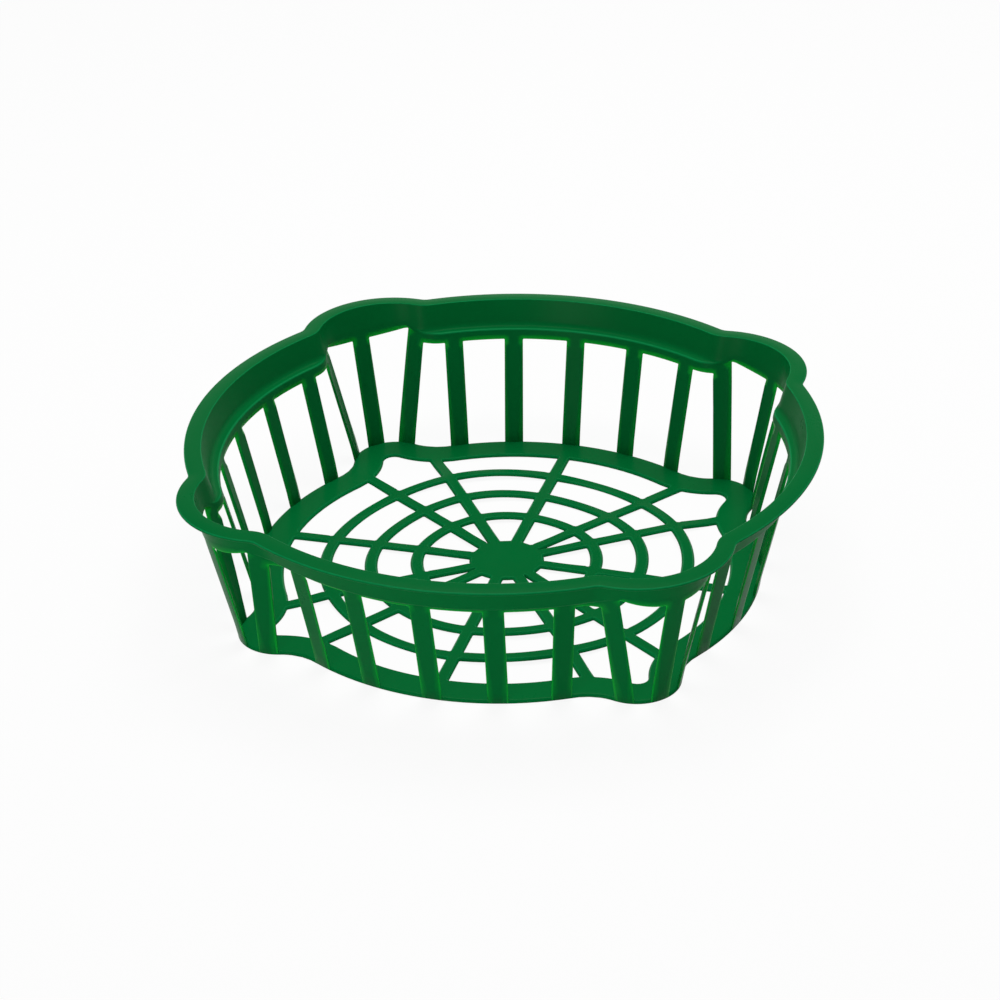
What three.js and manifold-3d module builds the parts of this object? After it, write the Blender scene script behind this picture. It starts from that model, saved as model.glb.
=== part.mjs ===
// A bulb planting basket: a low open basket of green plastic. Its plan is a circle with four round
// lobes. A flat lip, a rim wall and a ledged band stand on 32 leaning slats, and the floor is a web of
// twelve spokes and three rings around a hub disc.
// Millimetres, +Z up. The origin is under the middle of the hub, on the plane that the basket rests on.

import * as THREE from 'three';
import { mergeVertices } from 'three/addons/utils/BufferGeometryUtils.js';
import Module from 'manifold-3d';

const wasm = await Module();
wasm.setup();

// Overall height, the ledge's depth below it, and the band between the ledge and the windows' tops. The
// tops of a lobe's windows stand higher, most of all beside its cusps.
const basketHeight = 63.9;
const ledgeDepth = 11.8;
const bandHeight = 4.1;
const lobeMiddleRise = 0.8;
const lobeCuspRise = 3.5;

// The lip's outer edge in plan: long arcs about the middle, lobes that stand proud of them, and the
// turn between the two.
const lipArcRadius = 129.3;
const lipLobeProud = 11.5;
const lipLobeRadius = 37.1;
const lipCuspRadius = 6.2;

// The foot's outer edge in plan. The wall leans outwards by the lean from the foot to the lip.
const wallLean = 23.4;
const footLobeProud = 15;
const footLobeRadius = 17.8;
const footCuspRadius = 20;

// Wall sections.
const wallThickness = 1.7;
const ledgeWidth = 3.4;
const lipWidth = 7;
const lipThickness = 2.2;
const lipEdgeThickness = 1.5;
const lipDrop = 0.5;

// Slats.
const slatTopWidth = 8.1;
const slatFootWidth = 7.9;

// Floor. A ring's radius is a share of the radius inside the border.
const floorThickness = 1.4;
const borderWidth = 12.9;
const hubRadius = 15.6;
const spokeWidth = 4.9;
const ringWidth = 4.8;
const ringRadiusShares = { inner: 0.405, middle: 0.605, outer: 0.8065 };

// Gaps between pieces that meet on a curved or notched face.
const fitGap = 0.15;
const cutOverrun = 1;

// Angles in degrees, measured from the middle of a long arc. The places of the slats and of a side's
// outer spokes are shares of the turn from there to the middle of a lobe.
const quarterTurn = 90;
const fullTurn = 4 * quarterTurn;
const lobeAngle = quarterTurn / 2;
const slatTopShares = { middle: 0, inner: 0.3065, outer: 0.6005, cusp: 0.776 };
const slatFootShares = { middle: 0, inner: 0.3115, outer: 0.6075, cusp: 0.864 };
const spokeShare = 0.782;

// Steps of the outlines, in degrees, along an arc and through a cusp and lobe.
const arcStep = 2.9;
const arcStepsEnd = 29;
const lobeSteps = 12;
const ringSides = 72;

const sides = ['front', 'right', 'back', 'left'];
const lobes = ['front_right', 'back_right', 'back_left', 'front_left'];

const plasticGreen = new THREE.Color().setRGB(0.0, 0.4, 0.2, THREE.SRGBColorSpace);

const radians = THREE.MathUtils.degToRad;
const degreesOf = THREE.MathUtils.radToDeg;
const mix = THREE.MathUtils.lerp;

const ledgeHeight = basketHeight - ledgeDepth;
const windowTopHeight = ledgeHeight - bandHeight;
const footArcRadius = lipArcRadius - wallLean;
const lapHeight = floorThickness / 2;

// The arcs' bands end, and the lobes' bands begin, just past the cusp slats.
const cuspSlatAngle = slatTopShares.cusp * lobeAngle;
const bandSplitAngle = cuspSlatAngle + degreesOf(slatTopWidth / 2 / (footArcRadius + wallLean / 2));

// An outline is a closed curve in plan: four arcs about the middle and four lobe circles, with a round
// cusp that touches both. Growing it moves every point outwards along its normal.
function outline(arcRadius, lobeProud, lobeRadius, cuspRadius) {
  return { arcRadius, lobeCentre: arcRadius + lobeProud - lobeRadius, lobeRadius, cuspRadius };
}

function grow(shape, distance) {
  return {
    arcRadius: shape.arcRadius + distance,
    lobeCentre: shape.lobeCentre,
    lobeRadius: shape.lobeRadius + distance,
    cuspRadius: shape.cuspRadius - distance,
  };
}

function blend(low, high, share) {
  const result = {};
  for (const key of Object.keys(low)) result[key] = mix(low[key], high[key], share);
  return result;
}

// The centre of the cusp circle, with x along the lobe's middle line, and the polar angles from that
// line at which the arc ends and the lobe circle begins.
function cusp(shape) {
  const outer = shape.arcRadius + shape.cuspRadius;
  const inner = shape.lobeRadius + shape.cuspRadius;
  const x = (outer ** 2 - inner ** 2 + shape.lobeCentre ** 2) / (2 * shape.lobeCentre);
  const y = Math.sqrt(outer ** 2 - x ** 2);
  const part = shape.lobeRadius / inner;
  const touchX = shape.lobeCentre + (x - shape.lobeCentre) * part;
  return { x, y, arcEnd: Math.atan2(y, x), lobeStart: Math.atan2(y * part, touchX) };
}

// Distance from the middle to the outline at a polar angle in degrees from the middle of a long arc.
function radiusAt(shape, degrees) {
  const folded = ((degrees % quarterTurn) + quarterTurn) % quarterTurn;
  const fromLobe = radians(Math.abs(folded - lobeAngle));
  const turn = cusp(shape);
  if (fromLobe >= turn.arcEnd) return shape.arcRadius;
  if (fromLobe <= turn.lobeStart) {
    const along = shape.lobeCentre * Math.cos(fromLobe);
    const across = shape.lobeCentre * Math.sin(fromLobe);
    return along + Math.sqrt(shape.lobeRadius ** 2 - across ** 2);
  }
  const along = turn.x * Math.cos(fromLobe) + turn.y * Math.sin(fromLobe);
  const across = turn.y * Math.cos(fromLobe) - turn.x * Math.sin(fromLobe);
  return along - Math.sqrt(shape.cuspRadius ** 2 - across ** 2);
}

// Angle 0 is the middle of the front arc, at -Y, and angles run anticlockwise seen from above.
function planPoint(shape, degrees) {
  const radius = radiusAt(shape, degrees);
  const angle = radians(degrees - quarterTurn);
  return new THREE.Vector2(radius * Math.cos(angle), radius * Math.sin(angle));
}

const lipOutline = outline(lipArcRadius, lipLobeProud, lipLobeRadius, lipCuspRadius);
const rimInside = grow(lipOutline, -lipWidth);
const footOutline = outline(footArcRadius, footLobeProud, footLobeRadius, footCuspRadius);
const footInside = grow(footOutline, -wallThickness);

// The wall's inner face at a height. It leans straight from the foot to the lip, and above the ledge
// its arcs step outwards by the ledge's width.
function wallInside(height, aboveLedge = false) {
  const share = (height - floorThickness) / (basketHeight - floorThickness);
  const arcsIn = { ...rimInside, arcRadius: rimInside.arcRadius - ledgeWidth };
  const shape = blend(footInside, arcsIn, share);
  if (aboveLedge) shape.arcRadius += ledgeWidth;
  return shape;
}

function wallOutside(height, aboveLedge = false) {
  return grow(wallInside(height, aboveLedge), wallThickness);
}

// Polar angles of the stations from one angle to another, close together where the outline turns.
function stationsBetween(start, end) {
  const all = [];
  for (let side = -1; side <= sides.length; side += 1) {
    const middle = side * quarterTurn;
    const count = Math.round(arcStepsEnd / arcStep);
    for (let i = -count; i < count; i += 1) all.push(middle + (i * arcStepsEnd) / count);
    const span = quarterTurn - 2 * arcStepsEnd;
    for (let i = 0; i < 2 * lobeSteps; i += 1) {
      all.push(middle + arcStepsEnd + (i * span) / (2 * lobeSteps));
    }
  }
  const clear = arcStep / 8;
  const inside = all.filter((angle) => angle > start + clear && angle < end - clear);
  return [start, ...inside, end];
}

function solidFromTriangles(points, triangles) {
  const geometry = new THREE.BufferGeometry();
  geometry.setAttribute('position', new THREE.Float32BufferAttribute(points, 3));
  geometry.setIndex(triangles);
  const merged = mergeVertices(geometry);
  const index = Array.from(merged.index.array);
  const kept = [];
  for (let i = 0; i < index.length; i += 3) {
    const [a, b, c] = index.slice(i, i + 3);
    if (a !== b && b !== c && c !== a) kept.push(a, b, c);
  }
  merged.setIndex(kept);
  return merged;
}

// Carries a section round the basket. The section is given for each polar angle: its corners have an
// outline and a height, and run anticlockwise when seen with the outside of the basket to the right.
function sweep(sectionAt, start, end) {
  const closed = end - start >= fullTurn;
  const angles = stationsBetween(start, end);
  if (closed) angles.pop();
  const size = sectionAt(start).length;
  const points = [];
  for (const angle of angles) {
    for (const corner of sectionAt(angle)) {
      const p = planPoint(corner.shape, angle);
      points.push(p.x, p.y, corner.height);
    }
  }
  const triangles = [];
  const last = closed ? angles.length : angles.length - 1;
  for (let i = 0; i < last; i += 1) {
    const here = i * size;
    const next = ((i + 1) % angles.length) * size;
    for (let j = 0; j < size; j += 1) {
      const k = (j + 1) % size;
      triangles.push(here + j, next + j, next + k, here + j, next + k, here + k);
    }
  }
  if (!closed) addCaps(triangles, sectionAt, angles);
  return solidFromTriangles(points, triangles);
}

// Closes the two ends of an open sweep. Corners that meet at an end count once there.
function addCaps(triangles, sectionAt, angles) {
  for (const [i, station] of [0, angles.length - 1].entries()) {
    const corners = [];
    const section = sectionAt(angles[station]);
    section.forEach((corner, j) => {
      const p = new THREE.Vector2(radiusAt(corner.shape, angles[station]), corner.height);
      const repeated = corners.some((other) => other.p.distanceTo(p) < fitGap / 100);
      if (!repeated) corners.push({ p, index: station * section.length + j });
    });
    const faces = THREE.ShapeUtils.triangulateShape(corners.map((corner) => corner.p), []);
    for (const face of faces) {
      const [a, b, c] = face.map((corner) => corners[corner].index);
      if (i === 0) triangles.push(a, b, c);
      else triangles.push(a, c, b);
    }
  }
}

// The lip is a flange that falls a little towards a thinner outer edge.
function lipSolid() {
  const underside = basketHeight - lipThickness;
  const edgeTop = basketHeight - lipDrop;
  const section = [
    { shape: rimInside, height: underside },
    { shape: grow(rimInside, wallThickness), height: underside },
    { shape: lipOutline, height: edgeTop - lipEdgeThickness },
    { shape: lipOutline, height: edgeTop },
    { shape: rimInside, height: basketHeight },
  ];
  return sweep(() => section, 0, fullTurn);
}

function rimWallSolid() {
  const top = basketHeight - lipThickness;
  const section = [
    { shape: wallInside(ledgeHeight, true), height: ledgeHeight },
    { shape: wallOutside(ledgeHeight, true), height: ledgeHeight },
    { shape: grow(rimInside, wallThickness), height: top },
    { shape: rimInside, height: top },
  ];
  return sweep(() => section, 0, fullTurn);
}

// A band over the windows of one long arc: the ledge's plate, and the strip that hangs from its inner
// edge down to the tops of the windows.
function ledgeSolid(middle) {
  const plateBottom = ledgeHeight - wallThickness;
  const section = [
    { shape: wallInside(windowTopHeight), height: windowTopHeight },
    { shape: wallOutside(windowTopHeight), height: windowTopHeight },
    { shape: wallOutside(plateBottom), height: plateBottom },
    { shape: wallOutside(plateBottom, true), height: plateBottom },
    { shape: wallOutside(ledgeHeight, true), height: ledgeHeight },
    { shape: wallInside(ledgeHeight), height: ledgeHeight },
  ];
  return sweep(() => section, middle - bandSplitAngle, middle + bandSplitAngle);
}

// Height of a lobe's windows' tops, at an angle from the lobe's middle.
function lobeWindowTop(fromLobe) {
  const share = Math.abs(fromLobe) / (lobeAngle - bandSplitAngle);
  return windowTopHeight + mix(lobeMiddleRise, lobeCuspRise, share);
}

// A band over the windows of one lobe, with no ledge.
function lobeBandSolid(middle) {
  const sectionAt = (degrees) => {
    const bottom = lobeWindowTop(degrees - middle);
    return [
      { shape: wallInside(bottom), height: bottom },
      { shape: wallOutside(bottom), height: bottom },
      { shape: wallOutside(ledgeHeight), height: ledgeHeight },
      { shape: wallInside(ledgeHeight), height: ledgeHeight },
    ];
  };
  const half = lobeAngle - bandSplitAngle;
  return sweep(sectionAt, middle - half, middle + half);
}

// The four corners of a slat's level section: a rectangle set square to the wall at a polar angle.
function slatCorners(height, degrees, width) {
  const middleLine = grow(wallInside(height), wallThickness / 2);
  const centre = planPoint(middleLine, degrees);
  const reach = degreesOf(width / 2 / centre.length());
  const along = planPoint(middleLine, degrees + reach).sub(planPoint(middleLine, degrees - reach));
  along.normalize();
  const outwards = new THREE.Vector2(along.y, -along.x);
  const corners = [];
  for (const [across, out] of [[-1, -1], [-1, 1], [1, 1], [1, -1]]) {
    const p = centre.clone();
    p.addScaledVector(along, (across * width) / 2);
    p.addScaledVector(outwards, (out * wallThickness) / 2);
    corners.push(p.x, p.y, height);
  }
  return corners;
}

// A slat leans outwards from the floor's border to the band above it, and may turn on the way.
function slatSolid(footDegrees, topDegrees, topHeight) {
  const foot = slatCorners(floorThickness, footDegrees, slatFootWidth);
  const top = slatCorners(topHeight, topDegrees, slatTopWidth);
  const triangles = [0, 1, 2, 0, 2, 3, 4, 6, 5, 4, 7, 6];
  for (let i = 0; i < 4; i += 1) {
    const j = (i + 1) % 4;
    triangles.push(i, 4 + i, 4 + j, i, 4 + j, j);
  }
  return outwardFacing(solidFromTriangles([...foot, ...top], triangles));
}

// Turns a closed surface's faces outwards when its volume comes out negative.
function outwardFacing(geometry) {
  if (signedVolume(geometry) > 0) return geometry;
  const index = geometry.index.array;
  for (let i = 0; i < index.length; i += 3) {
    [index[i + 1], index[i + 2]] = [index[i + 2], index[i + 1]];
  }
  return geometry;
}

function signedVolume(geometry) {
  const corners = [new THREE.Vector3(), new THREE.Vector3(), new THREE.Vector3()];
  const index = geometry.index.array;
  let volume = 0;
  for (let i = 0; i < index.length; i += 3) {
    corners.forEach((corner, j) => corner.fromBufferAttribute(geometry.attributes.position, index[i + j]));
    volume += corners[0].dot(corners[1].clone().cross(corners[2])) / 6;
  }
  return volume;
}

// Points along a plan outline, with each arc, cusp and lobe divided evenly.
function outlinePoints(shape) {
  const turn = cusp(shape);
  const points = [];
  const addArc = (x, y, radius, from, to, steps, rotation) => {
    for (let i = 0; i < steps; i += 1) {
      const angle = mix(from, to, i / steps);
      const p = new THREE.Vector2(x + radius * Math.cos(angle), y + radius * Math.sin(angle));
      points.push(p.rotateAround(new THREE.Vector2(), rotation));
    }
  };
  const lobeTouch = Math.atan2(turn.y, turn.x - shape.lobeCentre);
  for (const [i] of lobes.entries()) {
    const rotation = radians(i * quarterTurn - lobeAngle);
    const cuspFrom = Math.PI + turn.arcEnd;
    const cuspTo = Math.PI + lobeTouch;
    addArc(turn.x, -turn.y, shape.cuspRadius, 2 * Math.PI - cuspFrom, 2 * Math.PI - cuspTo, 8, rotation);
    addArc(shape.lobeCentre, 0, shape.lobeRadius, -lobeTouch, lobeTouch, 16, rotation);
    addArc(turn.x, turn.y, shape.cuspRadius, cuspTo, cuspFrom, 8, rotation);
    addArc(0, 0, shape.arcRadius, turn.arcEnd, Math.PI / 2 - turn.arcEnd, 20, rotation);
  }
  return points;
}

function extruded(shape, bottom, top) {
  const geometry = new THREE.ExtrudeGeometry(shape, { depth: top - bottom, bevelEnabled: false });
  geometry.translate(0, 0, bottom);
  return positionsOnly(geometry);
}

function positionsOnly(geometry) {
  geometry.deleteAttribute('normal');
  geometry.deleteAttribute('uv');
  return mergeVertices(geometry);
}

// The floor's border: a flat plate that follows the foot, with a pocket in each lobe.
function borderSolid() {
  const shape = new THREE.Shape(outlinePoints(footOutline));
  shape.holes.push(new THREE.Path(outlinePoints(grow(footOutline, -borderWidth))));
  return extruded(shape, 0, floorThickness);
}

function discShape(radius) {
  const shape = new THREE.Shape();
  shape.absarc(0, 0, radius, 0, 2 * Math.PI);
  return shape;
}

function roundPoints(radius) {
  return new THREE.EllipseCurve(0, 0, radius, radius).getPoints(ringSides).slice(0, -1);
}

function annulus(inner, outer, bottom, top) {
  const shape = new THREE.Shape(roundPoints(outer));
  shape.holes.push(new THREE.Path(roundPoints(inner)));
  return extruded(shape, bottom, top);
}

function toManifold(geometry) {
  return new wasm.Manifold(
    new wasm.Mesh({
      numProp: 3,
      vertProperties: new Float32Array(geometry.attributes.position.array),
      triVerts: new Uint32Array(geometry.index.array),
    }),
  );
}

function fromManifold(manifold) {
  const mesh = manifold.getMesh();
  const geometry = new THREE.BufferGeometry();
  geometry.setAttribute('position', new THREE.BufferAttribute(mesh.vertProperties, 3));
  geometry.setIndex(new THREE.BufferAttribute(mesh.triVerts, 1));
  return geometry;
}

// A straight bar from the hub outwards, lying along a polar angle.
function bar(width, from, to, bottom, top, degrees) {
  const geometry = new THREE.BoxGeometry(to - from, width, top - bottom);
  geometry.translate((from + to) / 2, 0, (bottom + top) / 2);
  geometry.rotateZ(radians(degrees - quarterTurn));
  return toManifold(positionsOnly(geometry));
}

function ringRadius(share) {
  return share * (footArcRadius - borderWidth);
}

// Spokes and rings cross as half laps: rings keep their upper half there, spokes their lower half.
function ringSolid(radius, spokeAngles) {
  const inner = radius - ringWidth / 2;
  const outer = radius + ringWidth / 2;
  let solid = toManifold(annulus(inner, outer, 0, floorThickness));
  for (const degrees of spokeAngles) {
    const notchWidth = spokeWidth + 2 * fitGap;
    const from = inner - cutOverrun;
    const to = outer + cutOverrun;
    solid = solid.subtract(bar(notchWidth, from, to, -cutOverrun, lapHeight, degrees));
  }
  return fromManifold(solid);
}

function spokeSolid(degrees) {
  let solid = bar(spokeWidth, hubRadius + fitGap, footArcRadius, 0, floorThickness, degrees);
  for (const share of Object.values(ringRadiusShares)) {
    const radius = ringRadius(share);
    const inner = radius - ringWidth / 2 - fitGap;
    const outer = radius + ringWidth / 2 + fitGap;
    const notch = toManifold(annulus(inner, outer, lapHeight, floorThickness + cutOverrun));
    solid = solid.subtract(notch);
  }
  const innerEdge = new THREE.Shape(outlinePoints(grow(footOutline, -borderWidth - fitGap)));
  const web = toManifold(extruded(innerEdge, -cutOverrun, floorThickness + cutOverrun));
  return fromManifold(solid.intersect(web));
}

function hubSolid() {
  return extruded(discShape(hubRadius), 0, floorThickness);
}

const basket = new THREE.Group();
basket.name = 'bulb_basket';

function addPiece(name, geometry) {
  const material = new THREE.MeshStandardMaterial({ color: plasticGreen, roughness: 0.45, metalness: 0 });
  geometry.computeVertexNormals();
  const mesh = new THREE.Mesh(geometry, material);
  mesh.name = name;
  basket.add(mesh);
}

function addRim() {
  addPiece('rim_lip', lipSolid());
  addPiece('rim_wall', rimWallSolid());
  sides.forEach((side, i) => addPiece(`ledge_${side}`, ledgeSolid(i * quarterTurn)));
  lobes.forEach((lobe, i) => {
    addPiece(`lobe_band_${lobe}`, lobeBandSolid(i * quarterTurn + lobeAngle));
  });
}

function addSlats() {
  sides.forEach((side, i) => {
    for (const [place, topShare] of Object.entries(slatTopShares)) {
      const hands = topShare === 0 ? { '': 1 } : { _left: -1, _right: 1 };
      for (const [hand, sign] of Object.entries(hands)) {
        const middle = i * quarterTurn;
        const foot = middle + sign * slatFootShares[place] * lobeAngle;
        const top = middle + sign * topShare * lobeAngle;
        addPiece(`slat_${side}_${place}${hand}`, slatSolid(foot, top, windowTopHeight));
      }
    }
  });
  lobes.forEach((lobe, i) => {
    const middle = i * quarterTurn + lobeAngle;
    const lowest = windowTopHeight + lobeMiddleRise;
    addPiece(`slat_lobe_${lobe}`, slatSolid(middle, middle, lowest));
  });
}

function addFloor() {
  const spokeAngle = spokeShare * lobeAngle;
  const spokeAngles = sides.flatMap((side, i) => {
    return [-spokeAngle, 0, spokeAngle].map((angle) => i * quarterTurn + angle);
  });
  addPiece('floor_border', borderSolid());
  addPiece('hub_disc', hubSolid());
  for (const [name, share] of Object.entries(ringRadiusShares)) {
    addPiece(`ring_${name}`, ringSolid(ringRadius(share), spokeAngles));
  }
  spokeAngles.forEach((degrees, i) => addPiece(`spoke_${i + 1}`, spokeSolid(degrees)));
}

addRim();
addSlats();
addFloor();

export default basket;
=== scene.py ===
"""A bulb planting basket of green plastic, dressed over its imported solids.

The basket is one moulding. Here it is two closed shells: the wall, with its lip, ledge, bands and
slats, and the floor, with its border, rings, spokes and hub. Both are surfaces worked out on grids of
two parameters and welded where the grids meet, so every window and opening has rounded corners and
edges. Lengths are in millimetres until a mesh is made, which puts them in metres.
"""

import logging
import math
from dataclasses import dataclass, field, replace
from enum import Enum

import bmesh
import bpy
import numpy as np
from mathutils import Matrix, Vector


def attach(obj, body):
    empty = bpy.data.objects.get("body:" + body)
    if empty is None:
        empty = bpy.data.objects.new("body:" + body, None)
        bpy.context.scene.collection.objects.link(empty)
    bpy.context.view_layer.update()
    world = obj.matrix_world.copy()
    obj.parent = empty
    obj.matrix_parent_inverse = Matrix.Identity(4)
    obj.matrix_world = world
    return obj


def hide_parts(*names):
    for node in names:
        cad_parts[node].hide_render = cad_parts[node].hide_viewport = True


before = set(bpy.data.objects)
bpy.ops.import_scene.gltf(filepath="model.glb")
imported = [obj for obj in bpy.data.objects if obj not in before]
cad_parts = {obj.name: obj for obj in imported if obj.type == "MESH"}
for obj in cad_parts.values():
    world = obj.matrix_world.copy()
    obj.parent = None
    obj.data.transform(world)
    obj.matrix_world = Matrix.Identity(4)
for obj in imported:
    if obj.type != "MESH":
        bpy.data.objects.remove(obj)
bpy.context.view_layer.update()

MM = 0.001
FULL_TURN = 360.0
QUARTER_TURN = 90.0
LOBE_ANGLE = 45.0
TINY = 1e-6
WELD_REACH = 0.004
SLIVER = 0.001
NORMAL_WEIGHT = 60
EDGE_LIGHT = "edge_light"
SIDES = ("front", "right", "back", "left")
LOBES = ("front_right", "back_right", "back_left", "front_left")

Number = np.ndarray | float
Colour = tuple[float, float, float, float]

logging.basicConfig(level=logging.INFO, format="%(message)s")
log = logging.getLogger("bulb_basket")


def mix(low: Number, high: Number, share: Number) -> Number:
    """Straight blend from low to high; works on numbers and arrays."""
    return low + (high - low) * share


def from_lobe(degrees: Number) -> Number:
    """Degrees between a polar angle and the middle of its lobe."""
    return np.abs(np.mod(degrees, QUARTER_TURN) - LOBE_ANGLE)


def polar(radius: Number, degrees: Number, height: Number) -> np.ndarray:
    """Points at a radius, a polar angle and a height; angle 0 points along -Y."""
    angle = np.radians(np.asarray(degrees) - QUARTER_TURN)
    return np.stack(np.broadcast_arrays(radius * np.cos(angle), radius * np.sin(angle), height), -1)


# ---------------------------------------------------------------- plan outlines and the wall's faces


@dataclass(frozen=True)
class Outline:
    """A closed curve in plan: four arcs about the middle, four lobe circles, and cusps between them.

    Each field is a number or an array, so one outline can stand for a whole family of them.
    """

    arc: Number
    centre: Number
    lobe: Number
    cusp: Number

    def grow(self, distance: Number) -> "Outline":
        """The outline moved outwards along its normal by a distance."""
        return Outline(self.arc + distance, self.centre, self.lobe + distance, self.cusp - distance)

    def blend(self, other: "Outline", share: Number) -> "Outline":
        """The outline a share of the way to another one."""
        return Outline(
            mix(self.arc, other.arc, share),
            mix(self.centre, other.centre, share),
            mix(self.lobe, other.lobe, share),
            mix(self.cusp, other.cusp, share),
        )

    def radius(self, degrees: Number) -> Number:
        """Distance from the middle to the outline at polar angles.

        The cusp circle touches the arc and the lobe circle. A ray meets the arc, the near side of the
        cusp circle or the far side of the lobe circle, whichever its angle from the lobe calls for.

        Args:
            degrees: Angles from the middle of the front arc.

        Returns:
            The distances, in millimetres.
        """
        turn = np.radians(from_lobe(degrees))
        outer = self.arc + self.cusp
        inner = self.lobe + self.cusp
        x = (outer**2 - inner**2 + self.centre**2) / (2 * self.centre)
        y = np.sqrt(outer**2 - x**2)
        touch = self.lobe / inner
        arc_end = np.arctan2(y, x)
        lobe_start = np.arctan2(y * touch, mix(self.centre, x, touch))
        cos, sin = np.cos(turn), np.sin(turn)
        on_lobe = self.centre * cos + np.sqrt(np.maximum(self.lobe**2 - (self.centre * sin) ** 2, 0))
        across = y * cos - x * sin
        on_cusp = x * cos + y * sin - np.sqrt(np.maximum(self.cusp**2 - across**2, 0))
        return np.where(turn >= arc_end, self.arc, np.where(turn <= lobe_start, on_lobe, on_cusp))


@dataclass(frozen=True)
class WallSizes:
    """Sizes of the wall, in millimetres and degrees."""

    height: float = 63.9
    floor: float = 1.4
    ledge_depth: float = 11.8
    band: float = 4.7
    lobe_middle_rise: float = 1.75
    lobe_cusp_rise: float = 5.4
    lobe_rise_power: float = 2.2
    thickness: float = 1.2
    foot_inset: float = 1.55
    ledge_width: float = 3.5
    ledge_thickness: float = 1.2
    ledge_nose: float = 0.25
    ledge_back: float = 0.35
    ledge_hollow: float = 0.35
    lip_width: float = 7.0
    lip_thickness: float = 2.2
    lip_edge: float = 1.1
    lip_drop: float = 0.45
    lip_flat: float = 3.2
    slat_width: float = 8.15
    cusp_slat_less: float = 0.2
    slat_tops: tuple[float, ...] = (0.0, 13.79, 27.02, 34.82)
    slat_feet: tuple[float, ...] = (0.0, 14.02, 27.34, 38.82)
    lip: Outline = Outline(129.3, 103.7, 37.1, 6.2)
    foot: Outline = Outline(105.9, 103.1, 17.8, 20.0)

    @property
    def ledge(self) -> float:
        """Height of the ledge; its nose and its back corner stand a little above it."""
        return self.height - self.ledge_depth

    @property
    def window_top(self) -> float:
        """Height of the tops of an arc's windows."""
        return self.ledge - self.band

    def climb(self, height: Number) -> Number:
        """How far up the windows a height is: 0 on the floor, 1 at their tops."""
        return (height - self.floor) / (self.window_top - self.floor)


@dataclass(frozen=True)
class Roundings:
    """How far each corner of the rim's section is rounded, in millimetres, from the ledge outwards."""

    nose: float = 0.75
    hollow: float = 2.4
    rim: float = 0.35
    lip_top: float = 2.4
    lip_edge: float = 0.6
    lip_below: float = 1.4
    plate_back: float = 0.8
    plate_nose: float = 0.7


@dataclass(frozen=True)
class WallFaces:
    """The wall's two faces as functions of polar angle, height and depth into the plastic."""

    sizes: WallSizes

    def outline(self, height: Number, depth: Number, step: float = 0.0) -> Outline:
        """The wall's plan outline: the foot's and the rim's blended by height.

        The wall thickens towards its foot, where its outer face is flush with the floor's border.

        Args:
            height: Heights above the ground.
            depth: 0 on the inner face, the wall's thickness on the outer one.
            step: How far the arcs have stepped outwards over the ledge.

        Returns:
            The outline, or a family of them.
        """
        s = self.sizes
        share = np.maximum((height - s.floor) / (s.height - s.floor), 0.0)
        inside = s.foot.grow(-s.foot_inset)
        rim = s.lip.grow(-s.lip_width)
        shape = inside.blend(replace(rim, arc=rim.arc - s.ledge_width), share)
        thicker = mix(s.foot_inset / s.thickness, 1.0, share)
        return replace(shape, arc=shape.arc + step).grow(depth * thicker)

    def place(self, degrees: Number, height: Number, depth: Number) -> np.ndarray:
        """Points of the wall below the ledge."""
        return polar(self.outline(height, depth).radius(degrees), degrees, height)

    def pace(self, degrees: Number, height: Number) -> Number:
        """Millimetres along the wall's middle surface for each degree of turn.

        Args:
            degrees: Polar angles.
            height: Heights above the ground.

        Returns:
            The distance between points half a degree to each side.
        """
        half = self.sizes.thickness / 2
        ahead = self.place(degrees + 0.5, height, half)
        behind = self.place(degrees - 0.5, height, half)
        return np.linalg.norm(ahead - behind, axis=-1)


@dataclass(frozen=True)
class Slat:
    """One leaning slat: a straight strip whose section follows the wall's curve."""

    faces: WallFaces
    foot: float
    top: float
    less: float = 0.0

    def angle(self, height: Number) -> Number:
        """Polar angle of the slat's middle line at a height."""
        return mix(self.foot, self.top, np.maximum(self.faces.sizes.climb(height), 0.0))

    def half_turn(self, height: Number) -> Number:
        """Half the slat's width at a height, in degrees."""
        width = self.faces.sizes.slat_width - self.less
        return width / 2 / self.faces.pace(self.angle(height), height)

    def line(self, height: Number, hand: int) -> Number:
        """Polar angles along the slat's middle (hand 0) or along one of its edges (hand -1 or 1)."""
        return self.angle(height) + hand * self.half_turn(height)

    def bow(self, height: np.ndarray, hand: int) -> np.ndarray:
        """How far the wall's own curve strays from a straight line of the slat, as vectors to add.

        The straight line joins the slat's foot to the level of the windows' tops.

        Args:
            height: Heights above the ground.
            hand: Which of the slat's lines it is.

        Returns:
            Level vectors from the wall's curve to the straight line.
        """
        s = self.faces.sizes
        half = s.thickness / 2
        foot, top = (
            self.faces.place(self.line(end, hand), end, half)
            for end in (np.float64(s.floor), np.float64(s.window_top))
        )
        level = np.clip(height, s.floor, s.window_top)
        straight = mix(foot, top, s.climb(level)[..., None])
        away = straight - self.faces.place(self.line(level, hand), level, half)
        away[..., 2] = 0.0
        return away


# ---------------------------------------------------------------- rounded openings


def bent(start: np.ndarray, corner: np.ndarray, end: np.ndarray, steps: int) -> np.ndarray:
    """Points on the quadratic curve between two points that is drawn towards a corner.

    At b from 0 to 1, a point is (1 - b) squared of the start, twice b (1 - b) of the corner and b
    squared of the end.

    Args:
        start: Where the curve starts; all three may be arrays of points.
        corner: The sharp corner that it rounds.
        end: Where it ends.
        steps: How many steps to make.

    Returns:
        steps + 1 points.
    """
    b = np.linspace(0.0, 1.0, steps + 1)[:, None]
    return (1 - b) ** 2 * start + 2 * b * (1 - b) * corner + b**2 * end


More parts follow.
